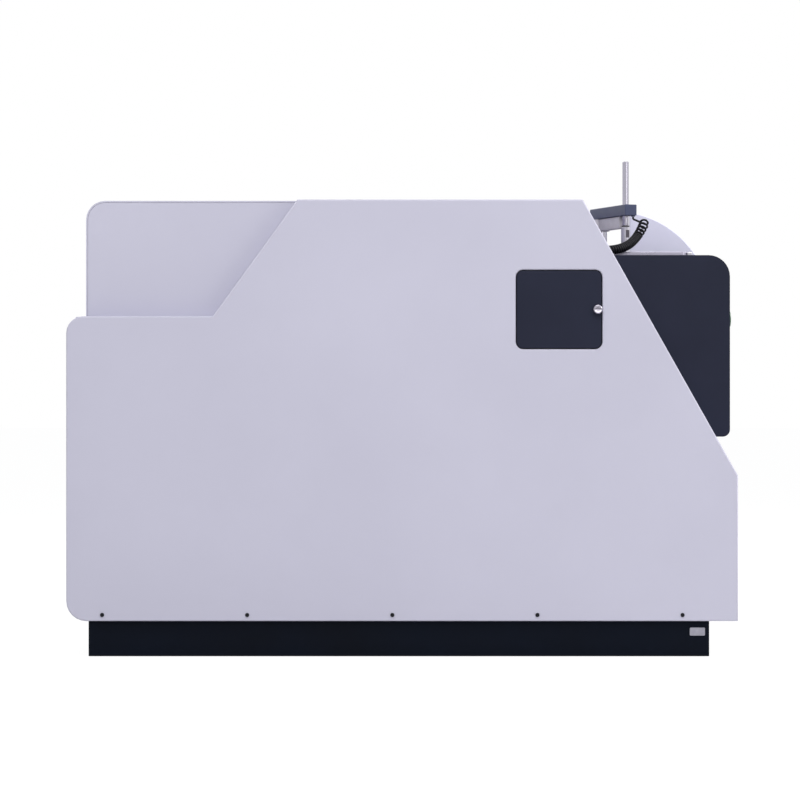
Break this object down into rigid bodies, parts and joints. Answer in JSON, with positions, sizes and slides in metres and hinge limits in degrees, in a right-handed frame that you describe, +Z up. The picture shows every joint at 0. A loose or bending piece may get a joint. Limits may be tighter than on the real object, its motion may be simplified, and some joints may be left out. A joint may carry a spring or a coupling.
{
  "type": "spark optical emission spectrometer",
  "caption": "Bench spectrometer with stepped side panels, a dark nose with a spark stand, a swinging sample clamp on a curly cord, and a service door.",
  "frame": {"origin": "on the surface it stands on, under the middle of the casing, on the plinth's centre rail", "axes": "+X to the front with the spark stand, +Z up, -Y to the left side with the service door"},
  "size_m": [0.8501, 0.5702, 0.6292],
  "materials": {
    "pale_paint": "satin",
    "dark_paint": "satin",
    "plinth_paint": "satin",
    "screw_black": "satin",
    "supply_case": "satin",
    "label_foil": "satin",
    "zinc_plate": "satin",
    "steel": "brushed",
    "tungsten": "satin",
    "laminations": "matte",
    "aluminium": "satin",
    "arm_block": "anodised",
    "brass": "satin",
    "black_plastic": "matte",
    "filter_white": "matte",
    "board_green": "matte",
    "hose_clear": "satin",
    "start_cap": "gloss",
    "stop_cap": "gloss",
    "ceramic": "gloss",
    "grating_glass": "polished",
    "rubber": "matte"
  },
  "bodies": {
    "root": {"plinth": "plinth_paint", "floor_plate": "zinc_plate", "equipment_frame": "zinc_plate", "left_side_panel": "pale_paint", "right_side_panel": "pale_paint", "left_panel_rail": "screw_black", "right_panel_rail": "screw_black", "inner_left_wall": "pale_paint", "inner_right_wall": "pale_paint", "top_cover": "pale_paint", "rear_panel": "pale_paint", "front_lower_panel": "pale_paint", "nose_housing": "dark_paint", "label_plate": "label_foil", "stand_cheek": "pale_paint", "spark_plate": "steel", "stand_body": "aluminium", "electrode": "tungsten", "electrode_insulator": "ceramic", "light_tube": "aluminium", "optical_chamber": "aluminium", "optical_lid": "aluminium", "grating_mount": "aluminium", "concave_grating": "grating_glass", "detector_rail": "aluminium", "entrance_slit": "black_plastic", "spark_source": "aluminium", "ignition_transformer": "laminations", "power_supply": "supply_case", "control_boards": "board_green", "argon_manifold": "aluminium", "argon_hose": "hose_clear", "argon_inlet": "brass", "exhaust_outlet": "steel", "fan_frame": "black_plastic", "fan_grille": "black_plastic", "power_inlet": "black_plastic", "data_port": "zinc_plate", "door_frame": "black_plastic", "service_box": "black_plastic", "filter_cartridge": "filter_white", "button_plate": "steel", "clamp_column": "steel", "cord_socket": "steel", "cord_plug": "black_plastic", "curly_cord": "rubber"},
    "clamp_arm": {"clamp_arm_body": "aluminium", "clamp_arm_block": "arm_block"},
    "press_rod": {"press_rod": "steel", "press_foot": "steel"},
    "side_door": {"side_door": "dark_paint"},
    "door_latch": {"door_knob": "steel", "latch_cam": "zinc_plate"},
    "start_button": {"start_button": "start_cap"},
    "stop_button": {"stop_button": "stop_cap"},
    "power_rocker": {"power_rocker": "black_plastic"},
    "fan_rotor": {"fan_rotor": "black_plastic"}
  },
  "joints": [
    {"name": "clamp_swing", "type": "hinge", "parent": "root", "child": "clamp_arm", "pos_m": [0.2607, -0.07305, 0.55], "axis": [0, 0, 1], "range_deg": [-25, 60], "deforming": ["curly_cord"]},
    {"name": "press_slide", "type": "slide", "parent": "clamp_arm", "child": "press_rod", "axis": [0, 0, 1], "range_m": [0, 0.011], "stiffness_N_per_m": 80, "springref_m": -0.02},
    {"name": "door_swing", "type": "hinge", "parent": "root", "child": "side_door", "pos_m": [0.1533, -0.2758, 0.4344], "axis": [0, 0, -1], "range_deg": [0, 100]},
    {"name": "latch_turn", "type": "hinge", "parent": "side_door", "child": "door_latch", "pos_m": [0.2445, -0.28, 0.4344], "axis": [0, -1, 0], "range_deg": [0, 90]},
    {"name": "start_button_press", "type": "slide", "parent": "root", "child": "start_button", "axis": [-1, 0, 0], "range_m": [0, 0.003], "stiffness_N_per_m": 400, "springref_m": -0.002},
    {"name": "stop_button_press", "type": "slide", "parent": "root", "child": "stop_button", "axis": [-1, 0, 0], "range_m": [0, 0.003], "stiffness_N_per_m": 400, "springref_m": -0.002},
    {"name": "power_rocker_tilt", "type": "hinge", "parent": "root", "child": "power_rocker", "pos_m": [-0.4138, -0.165, 0.128], "axis": [0, 1, 0], "range_deg": [0, 16]},
    {"name": "fan_spin", "type": "hinge", "parent": "root", "child": "fan_rotor", "pos_m": [-0.4, 0.12, 0.235], "axis": [1, 0, 0], "continuous": true}
  ]
}
